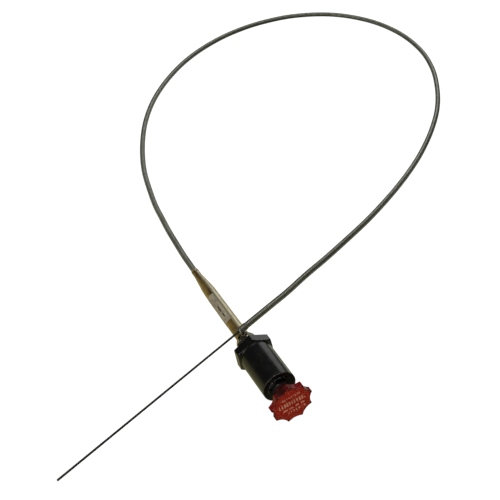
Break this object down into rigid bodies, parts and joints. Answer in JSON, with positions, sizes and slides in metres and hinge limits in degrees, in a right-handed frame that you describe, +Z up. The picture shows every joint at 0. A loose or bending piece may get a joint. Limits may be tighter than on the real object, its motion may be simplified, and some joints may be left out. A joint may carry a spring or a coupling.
{
  "type": "push-pull engine control cable",
  "caption": "Panel-mounted push-pull control: scalloped knob, threaded plunger in a black barrel, tapered guide tube, spiral conduit and a sliding inner wire.",
  "frame": {"origin": "on the ground under the middle of the head (knob face to guide tube end)", "axes": "+Z up; the head's axis runs along Y, with the knob towards -Y and the conduit leaving towards +Y"},
  "size_m": [0.6309, 0.6515, 0.0403],
  "materials": {
    "red_plastic": "moulded red plastic, worn satin",
    "black_finish": "gloss black finish on metal",
    "yellow_plate": "brushed yellow-gold plate, slightly tarnished",
    "brass": "turned brass",
    "plain_steel": "turned and oiled steel",
    "spring_steel": "drawn spring wire",
    "spiral_steel": "close-wound flat spiral steel, grey",
    "dark_wire": "dark drawn wire with a film of oil",
    "felt": "pressed felt",
    "label_foil": "grey-beige label, unprinted but for two plain dashes"
  },
  "bodies": {
    "housing": {"barrel": "black_finish", "front_bush": "black_finish", "wiper_ring": "felt", "front_thrust_washer": "plain_steel", "ball_cage": "brass", "garter_spring": "spring_steel", "rear_thrust_washer": "plain_steel", "preload_spring": "spring_steel", "lock_washer": "plain_steel", "panel_nut": "yellow_plate", "tube_nut": "yellow_plate", "detent_ball_1": "plain_steel", "detent_ball_2": "plain_steel", "detent_ball_3": "plain_steel", "guide_tube": "yellow_plate", "data_label": "label_foil", "conduit": "spiral_steel", "conduit_core": "dark_wire", "end_ferrule": "spiral_steel"},
    "wire_carriage": {"wire_anchor": "plain_steel", "front_wire": "dark_wire"},
    "knob_and_plunger": {"knob": "red_plastic", "knob_insert": "brass", "knob_lock_nut": "black_finish", "plunger": "plain_steel", "swivel_retainer": "plain_steel"},
    "wire_end": {"exposed_wire": "dark_wire"}
  },
  "joints": [
    {"name": "knob_pull", "type": "slide", "parent": "housing", "child": "wire_carriage", "axis": [0, -1, 0], "range_m": [0, 0.05]},
    {"name": "knob_turn", "type": "hinge", "parent": "wire_carriage", "child": "knob_and_plunger", "pos_m": [0.00046, -0.085, 0.01812], "axis": [0, -1, 0], "continuous": true},
    {"name": "wire_draw", "type": "slide", "parent": "housing", "child": "wire_end", "axis": [0.9331, 0.3341, 0.1333], "range_m": [0, 0.05]}
  ],
  "couplings": [
    {"joint": "wire_draw", "follows": "knob_pull", "ratio": 1}
  ]
}
